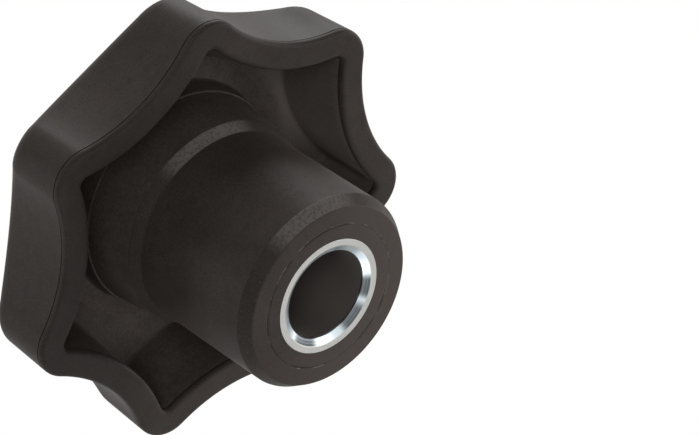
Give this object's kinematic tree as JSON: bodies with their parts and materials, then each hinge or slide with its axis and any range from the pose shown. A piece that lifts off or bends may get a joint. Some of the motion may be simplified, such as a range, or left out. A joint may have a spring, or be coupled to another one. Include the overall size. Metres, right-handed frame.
{
  "type": "star knob",
  "caption": "Lobed plastic star knob with a hollow domed grip, a long hub with a moulded-in steel bush and a snap-in cover cap.",
  "frame": {"origin": "centre of the bore's mouth, in the flat end face of the hub, which the knob stands on", "axes": "+Z along the bore, from the hub's end face to the domed crown; +X through the middle of a lobe; -Z is the way a spindle leaves the bore"},
  "size_m": [0.0479, 0.049, 0.0334],
  "materials": {
    "body_plastic": "satin, fine moulded grain",
    "zinc_plated_steel": "turned and zinc plated",
    "cap_plastic": "satin"
  },
  "bodies": {
    "root": {"knob_body": "body_plastic", "bush": "zinc_plated_steel", "cover_cap": "cap_plastic"}
  },
  "joints": []
}
